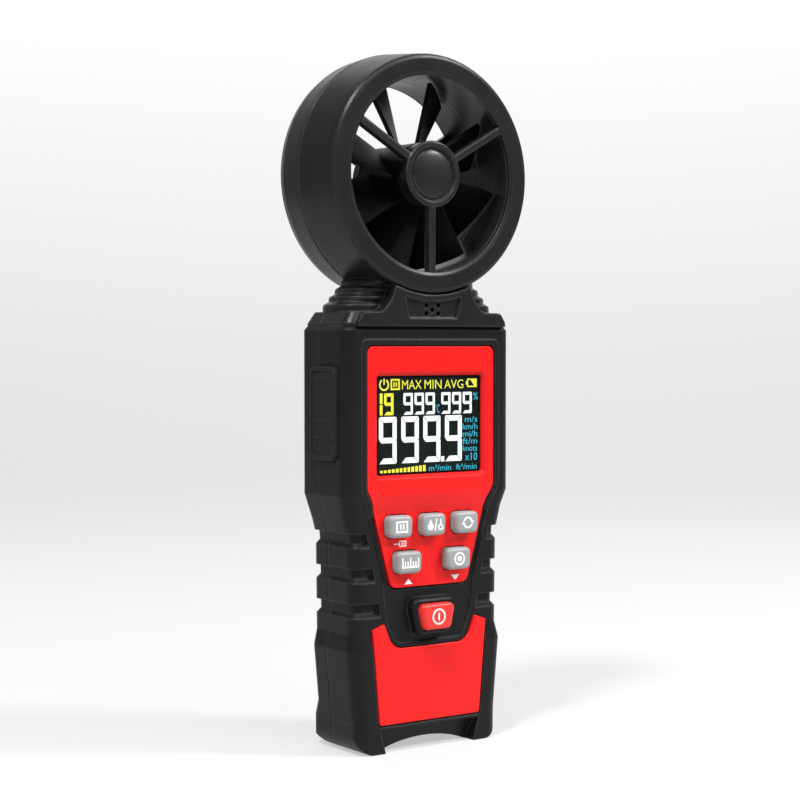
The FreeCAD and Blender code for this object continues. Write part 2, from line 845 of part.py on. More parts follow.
def screw_y(x, z, seat_y, length, shank, head, head_height):
    """Cross-recess screw driven towards -Y."""
    body = rod_y(head, x, z, seat_y, seat_y + head_height)
    body = body.fuse(rod_y(shank, x, z, seat_y - length, seat_y))
    arm = head * 0.6
    slot = 0.18 * head
    top = seat_y + head_height
    deep = head_height * 0.6
    cross = box(x - arm, x + arm, top - deep, top + 1, z - slot, z + slot)
    return body.cut(cross.fuse(box(x - slot, x + slot, top - deep, top + 1, z - arm, z + arm)))


def buzzer():
    x, z = 10.0, body_top_z - 22.0
    can = rod_y(4.5, x, z, board_back_y, board_back_y + 3.6)
    return can.cut(rod_y(0.9, x, z, board_back_y + 2.4, board_back_y + 4))


usb_z = ramp_top_z + 4.6
usb_half_height = 3.75
usb_depth = 2.6
usb_length = 7.4


def usb_opening():
    low = board_back_y - 0.3
    outline = [(low, usb_z - usb_half_height - 0.4), (low + usb_depth + 0.6, usb_z - usb_half_height - 0.4),
               (low + usb_depth + 0.6, usb_z + usb_half_height + 0.4), (low, usb_z + usb_half_height + 0.4)]
    return side_plate(outline, 0.6, upper_half_width - side_wall - 1, upper_half_width + 5)


def usb_socket():
    mouth = upper_half_width - 0.8
    low = board_back_y
    outline = [(low, usb_z - usb_half_height), (low + usb_depth, usb_z - usb_half_height + 0.9),
               (low + usb_depth, usb_z + usb_half_height - 0.9), (low, usb_z + usb_half_height)]
    can = side_plate(outline, 0.3, mouth - usb_length, mouth)
    inner = side_plate(grown(outline, -0.3), 0.1, mouth - usb_length + 1.0, mouth + 1)
    tongue = box(mouth - usb_length + 0.5, mouth - 0.8, low + 1.0, low + 1.6, usb_z - 2.0, usb_z + 2.0)
    return can.cut(inner).fuse(tongue)


# ================================================================ batteries
def cell_places():
    return [(index - (cell_count - 1) / 2) * cell_pitch for index in range(cell_count)]


def battery_cell(index):
    """One AAA cell; the middle one stands the other way up."""
    x = cell_places()[index]
    nub_up = index % 2 == 0
    low = cell_z if nub_up else cell_z + cell_nub_height
    body = rod_z(cell_radius, x, cell_y, low, low + cell_length - cell_nub_height)
    body = body.makeFillet(0.5, [edge for edge in body.Edges if len(edge.Vertexes) == 1])
    nub_z = cell_top_z - cell_nub_height if nub_up else cell_z
    return body.fuse(rod_z(cell_nub_radius, x, cell_y, nub_z, nub_z + cell_nub_height))


def battery_tray():
    back = waist_back_y - back_wall - 0.9
    front = cell_y - cell_radius - tray_wall
    tray = box(-tray_half_width, tray_half_width, front, back, tray_bottom_z, tray_top_z)
    inner = tray_half_width - tray_wall
    space = box(-inner, inner, front + tray_wall, back + 1, contact_z, tray_top_z - tray_wall)
    tray = tray.cut(space)
    for left, right in zip(cell_places(), cell_places()[1:]):
        middle = (left + right) / 2
        rib = box(middle - 0.15, middle + 0.15, front, cell_y - 1.0, contact_z + 4, tray_top_z - 4)
        tray = tray.fuse(rib)
    return tray


def battery_springs():
    springs = []
    for x in cell_places():
        disc = rod_z(3.6, x, cell_y, contact_z, contact_z + contact_thickness)
        start = contact_z + contact_thickness + spring_wire - 0.1
        height = cell_z - snug - spring_wire - start
        helix = Part.makeHelix(height / 3, height, spring_radius)
        section = Part.Wire(Part.Circle(Vector(spring_radius, 0, 0), Vector(0, 1, 0), spring_wire).toShape())
        coil = Part.Wire(helix.Edges).makePipeShell([section], True, True)
        coil.translate(Vector(x, cell_y, start))
        springs.append(disc.fuse(coil))
    return group(springs)


def battery_plates():
    """Spring-steel bridge over the first two cells and a single plate over the last."""
    places = cell_places()
    low = cell_top_z
    y0 = cell_y - 3.5
    y1 = cell_y + 3.0
    bridge = box(places[0] - 3.6, places[1] + 3.6, y0, y1, low, low + contact_thickness)
    single = box(places[-1] - 3.6, places[-1] + 3.6, y0, y1, low, low + contact_thickness)
    return group([bridge, single])


def battery_door():
    """Cover hooked in below by two tongues; it tips out on its lower outer edge."""
    inside = waist_back_y - door_thickness
    door = front_plate(rectangle(door_half_width, door_bottom_z, door_top_z), 2.0, inside, waist_back_y)
    for side in (-1, 1):
        x0 = 8.0 if side > 0 else -13.0
        tongue = box(x0, x0 + 5.0, inside, inside + 0.6, door_bottom_z - 2.0, door_bottom_z + 3.0)
        door = door.fuse(tongue)
    for index in range(5):
        z = door_top_z - 5.0 - index * 1.6
        door = door.cut(box(-6.0, 6.0, waist_back_y - 0.4, waist_back_y + 1, z, z + 0.7))
    return door.removeSplitter()


# ================================================================ measuring head
def drum_solid():
    front = drum_front_y
    back = drum_back_y
    profile = [
        (front + 0.4, duct_radius), (front, duct_radius + 0.9), (front, drum_face_radius),
        (front + 0.25, drum_face_radius + 0.75), (front + 0.9, drum_front_radius - 0.15),
        (front + 3.3, drum_front_radius + 0.2), (widest_y, drum_radius),
        (back - 3.8, drum_radius - 0.4), (back - 1.1, drum_back_radius), (back - 0.3, drum_back_radius - 0.6),
        (back, drum_back_radius - 1.4), (back, duct_radius + 0.9), (back - 0.4, duct_radius),
    ]
    return turned(profile)


def drum_hollow():
    """Space between the outer drum wall and the duct sleeve."""
    inner = duct_radius
    front = drum_front_y + drum_flange
    back = drum_back_y - drum_flange
    profile = [
        (front, inner), (front, drum_front_radius - drum_wall), (widest_y, drum_radius - drum_wall),
        (back, drum_back_radius - drum_wall), (back, inner),
    ]
    return turned(profile)


def neck_section(z, half_width, y0, y1, radius):
    points = [(-half_width, y0), (half_width, y0), (half_width, y1), (-half_width, y1)]
    return rounded_wire(points, radius, at_height(z))


def neck_flange():
    top = body_top_z + neck_flange_height
    wires = [
        neck_section(body_top_z, neck_flange_half_width, front_y + 0.6, back_y - 0.6, 3.4),
        neck_section(body_top_z + 0.9, neck_flange_half_width, front_y + 0.6, back_y - 0.6, 3.4),
        neck_section(top, neck_flange_half_width - 2.1, front_y + 1.4, back_y - 1.6, 3.0),
    ]
    return Part.makeLoft(wires, True, True)


def neck_bellows():
    """Ribbed column that narrows upwards into the drum."""
    low = body_top_z + neck_flange_height
    y0 = front_y + 3.0
    y1 = back_y - 3.0
    wires = [neck_section(low - 0.5, neck_rib_half_width, y0, y1, neck_rib_radius)]
    for index in range(neck_rib_count):
        half_width = neck_rib_half_width - index * neck_rib_step
        z = low + 0.9 + index * neck_rib_pitch
        shape = ((0.0, 0.0, 0.5), (0.5, 0.0, 0.0), (1.2, 0.3, 0.0), (1.7, neck_rib_groove, 0.9), (2.1, 1.9, 0.9))
        for rise, narrowing, set_back in shape[1:]:
            inset = half_width - narrowing
            wires.append(neck_section(z + rise, inset, y0 + set_back, y1 - set_back, neck_rib_radius - set_back))
    top_half_width = neck_rib_half_width - neck_rib_count * neck_rib_step
    wires.append(neck_section(drum_z - duct_radius - 2, top_half_width - 3, y0 + 1, y1 - 1, neck_rib_radius - 1))
    return Part.makeLoft(wires, True, True)


def neck_plate():
    """Flat front of the neck, cut along a circle round the drum."""
    low = body_top_z + 0.05
    wide = neck_flange_half_width - 2.6
    right = [
        (wide, low), (wide - 0.2, body_top_z + 1.4), (wide - 1.9, body_top_z + 4.0), (17.6, body_top_z + 4.3),
        (14.6, body_top_z + 8.2), (12.4, body_top_z + 14.0),
    ]
    radii = [0, 1.0, 1.6, 3.4, 4.0, 0]
    plate = front_plate(mirrored_outline(right), radii + radii[::-1], neck_plate_y, front_y + 6)
    return plate.cut(rod_y(drum_front_radius + 0.2, 0, drum_z, neck_plate_y - 1, drum_front_y + 2.0))


def sensor_window():
    """Shallow recess with five holes that lets air reach the sensor inside."""
    low = body_top_z + 2.5
    outline = mirrored_outline([(8.6, low), (10.4, low + 8.0)])
    recess = front_plate(outline, 0.6, neck_plate_y - 1, neck_plate_y + sensor_recess)
    recess = recess.cut(rod_y(drum_front_radius + 2.0, 0, drum_z, neck_plate_y - 2, neck_plate_y + 2))
    holes = []
    for x, z in sensor_hole_places():
        holes.append(rod_y(sensor_hole_radius, x, z, neck_plate_y - 1, front_y + 3))
    return recess.fuse(holes)


def sensor_hole_places():
    middle = body_top_z + 4.95
    corners = [(side * 2.15, middle + lift) for side in (-1, 1) for lift in (-1.2, 1.3)]
    return [(0.0, middle)] + corners


def neck_channel():
    return box(-9, 9, front_y + 1.5, back_y - 4, body_top_z - 1, drum_z - drum_front_radius + drum_wall + 1.5)


def head_block():
    """Drum, neck and flange in one, before it is split at the parting plane."""
    block = neck_flange().fuse([neck_bellows(), neck_plate()])
    block = block.cut(rod_y(duct_radius + 3.0, 0, drum_z, drum_front_y - 2, drum_back_y + 2))
    block = block.fuse(drum_solid())
    block = block.cut(drum_hollow()).cut(rod_y(duct_radius, 0, drum_z, drum_front_y - 2, drum_back_y + 2))
    block = block.cut(neck_channel()).cut(sensor_window()).cut(neck_screw_cutters())
    return block.cut(ring_y(drum_radius + 5, drum_radius - seam_depth, 0, drum_z,
                            parting_y - seam_width / 2, parting_y + seam_width / 2))


def drum_bosses(y0, y1):
    trim = rod_y(drum_radius - 0.8, 0, drum_z, y0, y1).cut(rod_y(sleeve_radius() + 0.05, 0, drum_z, y0 - 1, y1 + 1))
    posts = [rod_y(2.4, *on_circle(drum_screw_circle, angle), y0, y1) for angle in drum_screw_angles]
    return [post.common(trim) for post in posts]


def sleeve_radius():
    return duct_radius + sleeve_thickness


drum_screw_seat_y = drum_back_y - 4.5
drum_screw_length = 12.0


def head_front_shell():
    shell = head_block().common(box(-60, 60, drum_front_y - 5, parting_y, body_top_z - 5, drum_z + 60))
    for post in drum_bosses(drum_front_y + drum_flange - 0.5, parting_y):
        shell = shell.fuse(post)
    for angle in drum_screw_angles:
        x, z = on_circle(drum_screw_circle, angle)
        shell = shell.cut(rod_y(drum_screw_shank, x, z, drum_screw_seat_y - drum_screw_length, parting_y + 1))
    return shell


def head_rear_shell():
    shell = head_block().common(box(-60, 60, parting_y, drum_back_y + 5, body_top_z - 5, drum_z + 60))
    for post in drum_bosses(parting_y, drum_back_y - drum_flange + 0.5):
        shell = shell.fuse(post)
    for angle in drum_screw_angles:
        x, z = on_circle(drum_screw_circle, angle)
        shell = shell.cut(rod_y(drum_screw_shank + 0.1, x, z, parting_y - 1, drum_back_y))
        shell = shell.cut(rod_y(drum_screw_head + 0.2, x, z, drum_screw_seat_y, drum_back_y + 1))
    return shell


def guard(front):
    """Duct sleeve with a hub on three spokes; the front one faces -Y, the rear one is its mirror."""
    face = drum_front_y
    sleeve_start = drum_front_y + drum_flange
    sleeve_end = parting_y if front else mirrored_parting_y()
    sleeve = ring_y(sleeve_radius(), duct_radius, 0, drum_z, sleeve_start, sleeve_end)
    hub = rod_y(hub_radius, 0, drum_z, face, face + hub_depth)
    hub = softened(hub, 0.5, at_y(face))
    pieces = [sleeve, hub]
    near = face + spoke_set_back
    for angle in spoke_angles:
        spoke = box(hub_radius - 1, duct_radius - snug, near, near + spoke_depth, -spoke_width / 2, spoke_width / 2)
        foot = box(duct_radius - 2, duct_radius + 0.8, sleeve_start, near + spoke_depth, -spoke_width / 2, spoke_width / 2)
        spoke = softened(spoke, 0.45, lambda p: abs(p.y - near) < 1e-4 and abs(abs(p.z) - spoke_width / 2) < 1e-4)
        spoke = spoke.fuse(foot)
        spoke.rotate(Vector(0, 0, 0), Vector(0, 1, 0), -angle)
        spoke.translate(Vector(0, 0, drum_z))
        pieces.append(spoke)
    shape = pieces[0].fuse(pieces[1:])
    shape = shape.cut(rod_y(cap_recess_radius, 0, drum_z, face - 1, face + cap_recess))
    pocket_floor = face + hub_depth - bearing_width
    shape = shape.cut(rod_y(bearing_radius, 0, drum_z, pocket_floor, face + hub_depth + 1))
    if front:
        return shape
    middle = (drum_front_y + drum_back_y) / 2
    return shape.mirror(Vector(0, middle, 0), Vector(0, 1, 0))


def mirrored_parting_y():
    return drum_front_y + drum_back_y - parting_y


def bearing(front):
    inner_face = drum_front_y + hub_depth if front else drum_back_y - hub_depth
    y0 = inner_face - bearing_width if front else inner_face
    return ring_y(bearing_radius, bearing_bore, 0, drum_z, y0, y0 + bearing_width)


def hub_cap(front):
    """Shallow domed disc that closes the hub."""
    seat = drum_front_y + cap_recess
    rise = 0.75
    sphere_radius = (cap_radius ** 2 + rise ** 2) / (2 * rise)
    ball = Part.makeSphere(sphere_radius, Vector(0, seat - rise + sphere_radius - 0.12, drum_z))
    disc = rod_y(cap_radius, 0, drum_z, seat - rise - 1, seat)
    cap = ball.common(disc)
    if front:
        return cap
    middle = (drum_front_y + drum_back_y) / 2
    return cap.mirror(Vector(0, middle, 0), Vector(0, 1, 0))


def impeller_front_y():
    return drum_front_y + hub_depth + impeller_gap


def impeller_back_y():
    return drum_back_y - hub_depth - impeller_gap


def blade(angle_degrees):
    """Twisted blade: a row of tilted sections from the hub to the tip."""
    middle_y = impeller_front_y() + blade_front_depth - 2.6 + blade_length / 2
    root = impeller_hub_radius - 1.2
    tip = duct_radius + 1.0
    sweep = math.tan(math.radians(blade_pitch_degrees)) / 19.0
    wires = []
    for index in range(blade_section_count):
        radius = root + (tip - root) * index / (blade_section_count - 1)
        slope = math.atan(sweep * (radius * 0.45 + 19.0 * 0.55))
        half_chord = blade_length / 2 / math.cos(slope)
        half_thick = blade_thickness / 2
        corners = []
        for along, across in ((-1, -1), (1, -1), (1, 1), (-1, 1)):
            y = along * half_chord * math.cos(slope) - across * half_thick * math.sin(slope)
            side = along * half_chord * math.sin(slope) + across * half_thick * math.cos(slope)
            corners.append(Vector(side, middle_y + y, radius))
        wires.append(Part.makePolygon(corners + corners[:1]))
    shape = Part.makeLoft(wires, True, True)
    shape.rotate(Vector(0, 0, 0), Vector(0, 1, 0), 90 - angle_degrees)
    shape.translate(Vector(0, 0, drum_z))
    return shape


def impeller():
    front = impeller_front_y()
    back = impeller_back_y()
    hub = rod_y(impeller_hub_radius, 0, drum_z, front, back)
    hub = softened(hub, 1.2, at_y(front))
    blades = [blade(blade_first_angle - 360.0 / blade_count * index) for index in range(blade_count)]
    swept = rod_y(duct_radius - blade_tip_gap, 0, drum_z, front, back)
    shape = hub.fuse([one.common(swept) for one in blades])
    bowl = rod_y(impeller_hub_radius - 1.5, 0, drum_z, front + 1.6, back + 1)
    boss = rod_y(2.4, 0, drum_z, front + 1, back - 1.0)
    shape = shape.cut(bowl).fuse(boss)
    return shape.cut(rod_y(shaft_radius, 0, drum_z, front - 1, back + 1))


def impeller_shaft():
    start = drum_front_y + hub_depth - bearing_width + 0.2
    end = drum_back_y - hub_depth + bearing_width - 0.2
    return rod_y(shaft_radius, 0, drum_z, start, end)


def impeller_magnet():
    front = impeller_front_y() + 1.6
    return ring_y(5.0, 2.4, 0, drum_z, front, front + 2.5)


def vane_pickup():
    """Sensor block on the outside of the sleeve, above the neck channel."""
    low = drum_z - sleeve_radius() - 2.4
    block = box(-3.0, 3.0, parting_y - 4.0, parting_y + 2.0, low, drum_z - sleeve_radius() + 1)
    return block.cut(rod_y(sleeve_radius(), 0, drum_z, drum_front_y, drum_back_y))


def air_sensor_board():
    """Small board behind the five holes with the humidity and temperature chip on it."""
    y0 = front_y + 1.5
    low = body_top_z + 1.4
    board = box(-6.5, 6.5, y0 + 1.0, y0 + 2.0, low, low + 7.0)
    chip = box(-1.6, 1.6, y0 + 0.2, y0 + 1.0, low + 2.0, low + 5.2)
    return board.fuse(chip)


def ribbon_slot():
    """Slot in the handle's top wall for the flat lead."""
    y0 = ribbon_front_y - gap
    return box(-ribbon_half_width - gap, ribbon_half_width + gap, y0, y0 + 1.2, body_top_z - 5, body_top_z + 1)


def sensor_ribbon():
    """Flat lead that joins the sensor board and the pickup to the main board."""
    y0 = ribbon_front_y
    width = ribbon_half_width
    low = body_top_z - board_top_margin - 3.0
    upright = box(-width, width, y0, y0 + 0.3, body_top_z - 3.5, body_top_z + 4.0)
    step = box(-width, width, y0, board_back_y + 0.3, body_top_z - 3.8, body_top_z - 3.5)
    tail = box(-width, width, board_back_y, board_back_y + 0.3, low, body_top_z - 3.8)
    return upright.fuse([step, tail]).removeSplitter()


# ================================================================ screws
def case_screws():
    seat = case_screw_seat_y()
    size = (case_screw_shank, case_screw_head, case_screw_head_height)
    return group(screw_y(x, z, seat, case_screw_length, *size) for x, z in case_screw_places)


def drum_screws():
    screws = []
    for angle in drum_screw_angles:
        x, z = on_circle(drum_screw_circle, angle)
        screws.append(screw_y(x, z, drum_screw_seat_y, drum_screw_length, drum_screw_shank, drum_screw_head, 1.0))
    return group(screws)


def neck_screw_places():
    return [(side * neck_screw_x, y) for side in (-1, 1) for y in neck_screw_ys]


def neck_screw_cutters():
    """Holes through the handle's top wall and up into the neck."""
    seat = body_top_z - top_wall
    holes = [rod_z(neck_screw_shank, x, y, seat - 1, seat + neck_screw_length) for x, y in neck_screw_places()]
    return holes[0].fuse(holes[1:])


def neck_screws():
    seat = body_top_z - top_wall
    screws = []
    for x, y in neck_screw_places():
        head = rod_z(neck_screw_head, x, y, seat - 1.2, seat)
        head = head.cut(box(x - 1.2, x + 1.2, y - 0.3, y + 0.3, seat - 1.3, seat - 0.6))
        screws.append(head.fuse(rod_z(neck_screw_shank, x, y, seat, seat + neck_screw_length)))
    return group(screws)


def sub_parts():
    makers = {
        "front_shell": front_shell, "back_shell": back_shell,
        "upper_panel": upper_panel, "lower_panel": lower_panel,
        "display_window": display_window, "display_glass": display_glass,
        "display_backlight": display_backlight, "main_board": main_board,
        "key_switches": key_switches, "board_screws": board_screws,
        "buzzer": buzzer, "usb_socket": usb_socket, "tripod_insert": tripod_insert,
        "battery_tray": battery_tray, "battery_springs": battery_springs,
        "battery_plates": battery_plates, "battery_door": battery_door,
        "head_front_shell": head_front_shell, "head_rear_shell": head_rear_shell,
        "impeller": impeller, "impeller_shaft": impeller_shaft, "impeller_magnet": impeller_magnet,
        "vane_pickup": vane_pickup, "air_sensor_board": air_sensor_board, "sensor_ribbon": sensor_ribbon,
        "case_screws": case_screws, "drum_screws": drum_screws, "neck_screws": neck_screws,
    }
    shapes = {name: make() for name, make in makers.items()}
    shapes["right_grip_pad"] = grip_pad()
    shapes["left_grip_pad"] = mirror_x(shapes["right_grip_pad"])
    for end, front in (("front", True), ("rear", False)):
        shapes[end + "_guard"] = guard(front)
        shapes[end + "_bearing"] = bearing(front)
        shapes[end + "_hub_cap"] = hub_cap(front)
    for index in range(cell_count):
        shapes["battery_cell_%d" % (index + 1)] = battery_cell(index)
    for name in key_table():
        shapes[name] = key(name)
    return shapes


os.makedirs("parts", exist_ok=True)
for node, shape in sub_parts().items():
    if not shape.isValid():
        print("invalid shape:", node)
    print(node, len(shape.Solids), "solid(s)", round(shape.Volume, 1))
    shape.exportStep("parts/%s.step" % node)
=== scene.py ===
import json
import math
import bmesh
import bpy
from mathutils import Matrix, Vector


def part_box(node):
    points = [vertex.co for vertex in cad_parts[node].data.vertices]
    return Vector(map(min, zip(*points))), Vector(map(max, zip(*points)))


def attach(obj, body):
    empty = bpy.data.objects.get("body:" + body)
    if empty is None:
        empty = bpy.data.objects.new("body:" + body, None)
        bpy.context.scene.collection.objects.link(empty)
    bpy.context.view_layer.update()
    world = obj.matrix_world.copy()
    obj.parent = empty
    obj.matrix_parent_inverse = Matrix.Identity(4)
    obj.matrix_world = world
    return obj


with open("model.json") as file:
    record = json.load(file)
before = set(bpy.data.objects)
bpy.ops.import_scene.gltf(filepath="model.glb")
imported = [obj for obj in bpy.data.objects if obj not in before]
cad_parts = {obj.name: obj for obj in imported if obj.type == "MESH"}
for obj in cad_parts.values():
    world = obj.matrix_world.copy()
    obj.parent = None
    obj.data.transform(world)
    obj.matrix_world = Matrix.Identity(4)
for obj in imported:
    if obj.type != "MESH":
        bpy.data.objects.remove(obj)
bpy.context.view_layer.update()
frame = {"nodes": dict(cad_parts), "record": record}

MM = 0.001
NODES = frame["nodes"]
HOUSING = "housing"


# ---------------------------------------------------------------- places taken from the frame
def low(node):
    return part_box(node)[0]


def high(node):
    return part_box(node)[1]


def centre(node):
    return (low(node) + high(node)) / 2


# ---------------------------------------------------------------- camera, light and floor
CAMERA_AZIMUTH = math.radians(-35.26)
CAMERA_ELEVATION = math.radians(1.78)
CAMERA_DISTANCE = 519.4 * MM
CAMERA_TARGET = (-11.3 * MM, -12.5 * MM, 101.96 * MM)
LENS = 81.29
SENSOR_WIDTH = 36.0
CLIP_START, CLIP_END = 0.01, 20
LIGHT_TARGET = (0, 0, 0.11)
WORLD_STRENGTH = 0.25


def direction(azimuth, elevation):
    """Unit vector out from the meter, angles in radians; azimuth 0 is straight in front of it."""
    flat = math.cos(elevation)
    return Vector((math.sin(azimuth) * flat, -math.cos(azimuth) * flat, math.sin(elevation)))


def set_camera():
    """Three-quarter front view from the left, a little above the middle of the meter."""
    back = direction(CAMERA_AZIMUTH, CAMERA_ELEVATION)
    data = bpy.data.cameras.new("camera")
    data.lens = LENS
    data.sensor_width = SENSOR_WIDTH
    data.clip_start = CLIP_START
    data.clip_end = CLIP_END
    camera = bpy.data.objects.new("camera", data)
    camera.location = Vector(CAMERA_TARGET) + back * CAMERA_DISTANCE
    camera.rotation_euler = back.to_track_quat("Z", "Y").to_euler()
    bpy.context.scene.collection.objects.link(camera)
    bpy.context.scene.camera = camera


def area_light(name, azimuth, elevation, distance, size, power):
    """Soft box that faces the middle of the meter; angles in degrees."""
    target = Vector(LIGHT_TARGET)
    place = target + direction(math.radians(azimuth), math.radians(elevation)) * distance
    data = bpy.data.lights.new(name, "AREA")
    data.shape = "RECTANGLE"
    data.size, data.size_y = size
    data.energy = power
    light = bpy.data.objects.new(name, data)
    light.location = place
    light.rotation_euler = (place - target).to_track_quat("Z", "Y").to_euler()
    bpy.context.scene.collection.objects.link(light)


def set_world():
    """Even white light from everywhere."""
    world = bpy.data.worlds.new("studio")
    world.use_nodes = True
    background = world.node_tree.nodes["Background"]
    background.inputs["Color"].default_value = (1.0, 1.0, 1.0, 1)
    background.inputs["Strength"].default_value = WORLD_STRENGTH
    bpy.context.scene.world = world


# Backdrop lengths in metres; the glow fades over these distances to the sides and to the front.
FLOOR_WIDTH = 8.0
FLOOR_FRONT = -4.0
WALL_DEPTH = 1.6
WALL_HEIGHT = 3.0
WALL_BEND = 0.8
BEND_STEPS = 16
FLOOR_GLOW, WALL_GLOW, FAR_GLOW = 0.5, 1.0, 0.3
SIDE_FADE = (0.6, 1.2)
FRONT_FADE = (-1.6, -0.6)


def backdrop():
    """Pale floor that curves up into a wall behind the meter, and glows less far away from it."""
    profile = [(FLOOR_FRONT, 0.0), (WALL_DEPTH - WALL_BEND, 0.0)]
    for step in range(1, BEND_STEPS + 1):
        angle = math.pi / 2 * step / BEND_STEPS
        profile.append((WALL_DEPTH - WALL_BEND + WALL_BEND * math.sin(angle),
                        WALL_BEND - WALL_BEND * math.cos(angle)))
    profile.append((WALL_DEPTH, WALL_HEIGHT))
    mesh = bpy.data.meshes.new("backdrop")
    verts = [(side * FLOOR_WIDTH / 2, y, z) for y, z in profile for side in (-1, 1)]
    faces = [(2 * i, 2 * i + 1, 2 * i + 3, 2 * i + 2) for i in range(len(profile) - 1)]
    mesh.from_pydata(verts, [], faces)
    floor = bpy.data.objects.new("backdrop", mesh)
    for face in mesh.polygons:
        face.use_smooth = True
    floor.rotation_euler = (0, 0, CAMERA_AZIMUTH)
    bpy.context.scene.collection.objects.link(floor)
    recipe = Recipe("backdrop")
    split = recipe.node("ShaderNodeSeparateXYZ")
    recipe.join(recipe.place, split.inputs["Vector"])
    across = recipe.node("ShaderNodeMath", operation="ABSOLUTE")
    recipe.join(split.outputs["X"], across.inputs[0])
    near = recipe.product(recipe.spread(across.outputs[0], *SIDE_FADE, 1.0, 0.0),
                          recipe.spread(split.outputs["Y"], *FRONT_FADE, 0.0, 1.0))
    glow = recipe.product(recipe.spread(split.outputs["Z"], 0.0, WALL_BEND, FLOOR_GLOW, WALL_GLOW),
                          recipe.spread(near, 0.0, 1.0, FAR_GLOW, 1.0))
    recipe.drive(Emission_Strength=glow)
    recipe.set(Base_Color=(0.3, 0.3, 0.3, 1), Roughness=0.9, Emission_Color=(1, 1, 1, 1))
    mesh.materials.append(recipe.material)


# ---------------------------------------------------------------- materials
NOISE_RANGE = (0.3, 0.7)
EDGE_RANGE = (0.995, 0.9)
CELL_BAND = (44.0 * MM, 44.2 * MM)


class Recipe:
    """Helper that adds nodes to one material and joins them up; lengths are in metres."""

    def __init__(self, name):
        self.material = bpy.data.materials.new(name)
        self.material.use_nodes = True
        self.tree = self.material.node_tree
        self.shader = self.tree.nodes["Principled BSDF"]
        self.place = self.tree.nodes.new("ShaderNodeTexCoord").outputs["Object"]

    def node(self, kind, **values):
        made = self.tree.nodes.new(kind)
        for key, value in values.items():
            setattr(made, key, value)
        return made

    def join(self, source, target):
        self.tree.links.new(source, target)

    def drive(self, **sources):
        """Joins sources to the shader's sockets of these names."""
        for key, source in sources.items():
            self.join(source, self.shader.inputs[key.replace("_", " ")])

    def set(self, **values):
        """Sets the shader's sockets of these names."""
        for key, value in values.items():
            self.shader.inputs[key.replace("_", " ")].default_value = value

    def product(self, first, second):
        made = self.node("ShaderNodeMath", operation="MULTIPLY")
        self.join(first, made.inputs[0])
        self.join(second, made.inputs[1])
        return made.outputs[0]

    def noise(self, scale, detail=2.0, roughness=0.5):
        made = self.node("ShaderNodeTexNoise")
        made.inputs["Scale"].default_value = scale
        made.inputs["Detail"].default_value = detail
        made.inputs["Roughness"].default_value = roughness
        self.join(self.place, made.inputs["Vector"])
        return made.outputs["Fac"]

    def spread(self, source, from_low, from_high, to_low, to_high):
        made = self.node("ShaderNodeMapRange")
        limits = (("From Min", from_low), ("From Max", from_high), ("To Min", to_low), ("To Max", to_high))
        for name, value in limits:
            made.inputs[name].default_value = value
        self.join(source, made.inputs["Value"])
        return made.outputs["Result"]

    def mottle(self, low_value, high_value, *noise):
        """Noise, given as scale, detail and roughness, stretched over a range of values."""
        return self.spread(self.noise(*noise), *NOISE_RANGE, low_value, high_value)

    def blend(self, factor, first, second):
        """Colour mix; each colour is a tuple or a socket."""
        made = self.node("ShaderNodeMix", data_type="RGBA")
        self.join(factor, made.inputs["Factor"])
        for socket, value in ((made.inputs[6], first), (made.inputs[7], second)):
            if isinstance(value, tuple):
                socket.default_value = value + (1,)
            else:
                self.join(value, socket)
        return made.outputs[2]

    def bump(self, height, distance, under=None):
        made = self.node("ShaderNodeBump")
        made.inputs["Distance"].default_value = distance
        made.inputs["Strength"].default_value = 1.0
        self.join(height, made.inputs["Height"])
        if under is not None:
            self.join(under, made.inputs["Normal"])
        return made.outputs["Normal"]

    def soft_edge(self, radius):
        made = self.node("ShaderNodeBevel", samples=4)
        made.inputs["Radius"].default_value = radius
        return made.outputs["Normal"]

    def edge_mask(self, rounded):
        """One on sharp edges and nought on flat faces."""
        flat = self.node("ShaderNodeNewGeometry").outputs["Normal"]
        dot = self.node("ShaderNodeVectorMath", operation="DOT_PRODUCT")
        self.join(rounded, dot.inputs[0])
        self.join(flat, dot.inputs[1])
        return self.spread(dot.outputs["Value"], *EDGE_RANGE, 0.0, 1.0)


def tinted(colour, factor, lift=0.0):
    """The colour made darker or paler, never past white."""
    return tuple(min(1.0, c * factor + lift) for c in colour)


def moulded(name, colour, roughness, grain=2600.0, grain_depth=0.000018, edge=0.00022, wear_and_highlight=0.7, specular=0.5,
            ior=1.24):
    """Moulded plastic: fine spark-eroded grain, faint handling gloss, and edges made paler partly by rubbed
    wear and partly by a painted highlight.
    """
    recipe = Recipe(name)
    rounded = recipe.soft_edge(edge)
    edge_wear_and_highlight_mask = recipe.edge_mask(rounded)
    broken = recipe.spread(recipe.noise(900.0, 3.0), 0.3, 0.6, 0.3 * wear_and_highlight, wear_and_highlight)
    scuffs_and_highlight = recipe.product(edge_wear_and_highlight_mask, broken)
    cloud = recipe.mottle(0.0, 1.0, 38.0, 4.0, 0.6)
    base = recipe.blend(cloud, tinted(colour, 0.88), tinted(colour, 1.10))
    # Sharp edges blend towards a paler colour. This is partly rubbed wear and partly a painted highlight that
    # stands in for light catching the edges.
    recipe.drive(Base_Color=recipe.blend(scuffs_and_highlight, base, tinted(colour, 1.4, 0.06)),
                 Roughness=recipe.mottle(roughness - 0.06, roughness + 0.07, 75.0, 5.0, 0.65),
                 Normal=recipe.bump(recipe.noise(grain, 2.0), grain_depth, rounded))
    recipe.set(Specular_IOR_Level=specular, IOR=ior)
    return recipe.material


